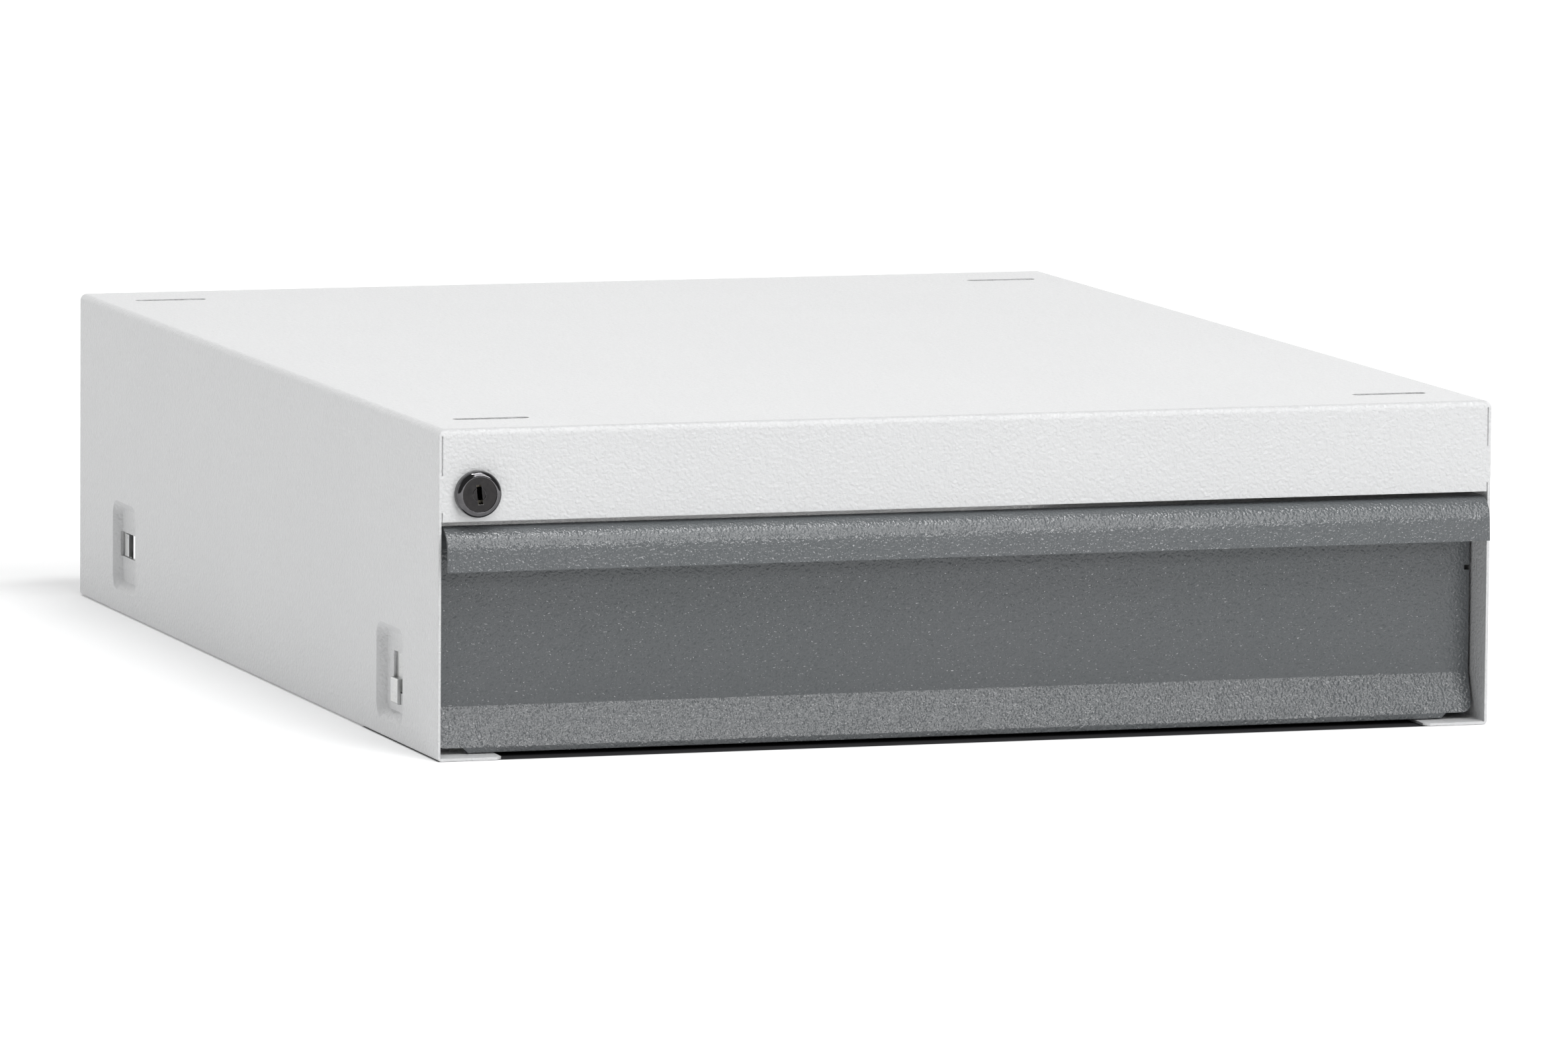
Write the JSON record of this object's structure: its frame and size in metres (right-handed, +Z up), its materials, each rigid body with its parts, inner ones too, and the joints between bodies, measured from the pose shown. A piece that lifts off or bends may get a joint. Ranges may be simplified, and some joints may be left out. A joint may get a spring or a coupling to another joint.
{
  "type": "under desk drawer",
  "caption": "Lockable steel drawer in a folded casing that screws up under a desk top, with a full-width grip lip and telescopic ball slides.",
  "frame": {"origin": "under the middle of the whole object, lip included, at the casing's underside", "axes": "+X to the right as seen from the front, +Y to the back, +Z up; the drawer opens along -Y"},
  "size_m": [0.48, 0.6068, 0.143],
  "materials": {
    "casing_paint": "light grey textured powder coat",
    "drawer_paint": "slate grey textured powder coat",
    "slide_steel": "bright zinc plated",
    "rivet_steel": "plain",
    "zinc_steel": "zinc plated",
    "ball_steel": "polished",
    "cage_plastic": "moulded",
    "stop_rubber": "moulded",
    "lock_chrome": "dark polished chrome",
    "wafer_brass": "stamped"
  },
  "bodies": {
    "casing": {"casing": "casing_paint", "cabinet_member_left": "slide_steel", "cabinet_member_right": "slide_steel", "slide_stop_left": "stop_rubber", "slide_stop_right": "stop_rubber", "lock_housing": "lock_chrome", "lock_nut": "zinc_steel"},
    "drawer": {"drawer_front": "drawer_paint", "drawer_tray": "drawer_paint", "drawer_back": "drawer_paint", "slide_rivets": "rivet_steel", "back_rivets": "rivet_steel", "front_nuts": "zinc_steel", "drawer_member_left": "slide_steel", "drawer_member_right": "slide_steel"},
    "lock_core": {"lock_plug": "lock_chrome", "lock_wafers": "wafer_brass", "lock_cam": "zinc_steel", "cam_screw": "zinc_steel"},
    "middle_left": {"middle_member_left": "slide_steel"},
    "outer_cage_left": {"outer_cage_left": "cage_plastic", "outer_balls_left": "ball_steel"},
    "inner_cage_left": {"inner_cage_left": "cage_plastic", "inner_balls_left": "ball_steel"},
    "middle_right": {"middle_member_right": "slide_steel"},
    "outer_cage_right": {"outer_cage_right": "cage_plastic", "outer_balls_right": "ball_steel"},
    "inner_cage_right": {"inner_cage_right": "cage_plastic", "inner_balls_right": "ball_steel"}
  },
  "joints": [
    {"name": "drawer_slide", "type": "slide", "parent": "casing", "child": "drawer", "axis": [0, -1, 0], "range_m": [0, 0.45]},
    {"name": "middle_left_slide", "type": "slide", "parent": "casing", "child": "middle_left", "axis": [0, -1, 0], "range_m": [0, 0.225]},
    {"name": "outer_cage_left_slide", "type": "slide", "parent": "casing", "child": "outer_cage_left", "axis": [0, -1, 0], "range_m": [0, 0.1125]},
    {"name": "inner_cage_left_slide", "type": "slide", "parent": "casing", "child": "inner_cage_left", "axis": [0, -1, 0], "range_m": [0, 0.3375]},
    {"name": "middle_right_slide", "type": "slide", "parent": "casing", "child": "middle_right", "axis": [0, -1, 0], "range_m": [0, 0.225]},
    {"name": "outer_cage_right_slide", "type": "slide", "parent": "casing", "child": "outer_cage_right", "axis": [0, -1, 0], "range_m": [0, 0.1125]},
    {"name": "inner_cage_right_slide", "type": "slide", "parent": "casing", "child": "inner_cage_right", "axis": [0, -1, 0], "range_m": [0, 0.3375]},
    {"name": "lock_turn", "type": "hinge", "parent": "casing", "child": "lock_core", "pos_m": [-0.223, -0.29665, 0.115], "axis": [0, 1, 0], "range_deg": [0, 90]}
  ],
  "couplings": [
    {"joint": "middle_left_slide", "follows": "drawer_slide", "ratio": 0.5},
    {"joint": "outer_cage_left_slide", "follows": "drawer_slide", "ratio": 0.25},
    {"joint": "inner_cage_left_slide", "follows": "drawer_slide", "ratio": 0.75},
    {"joint": "middle_right_slide", "follows": "drawer_slide", "ratio": 0.5},
    {"joint": "outer_cage_right_slide", "follows": "drawer_slide", "ratio": 0.25},
    {"joint": "inner_cage_right_slide", "follows": "drawer_slide", "ratio": 0.75}
  ]
}
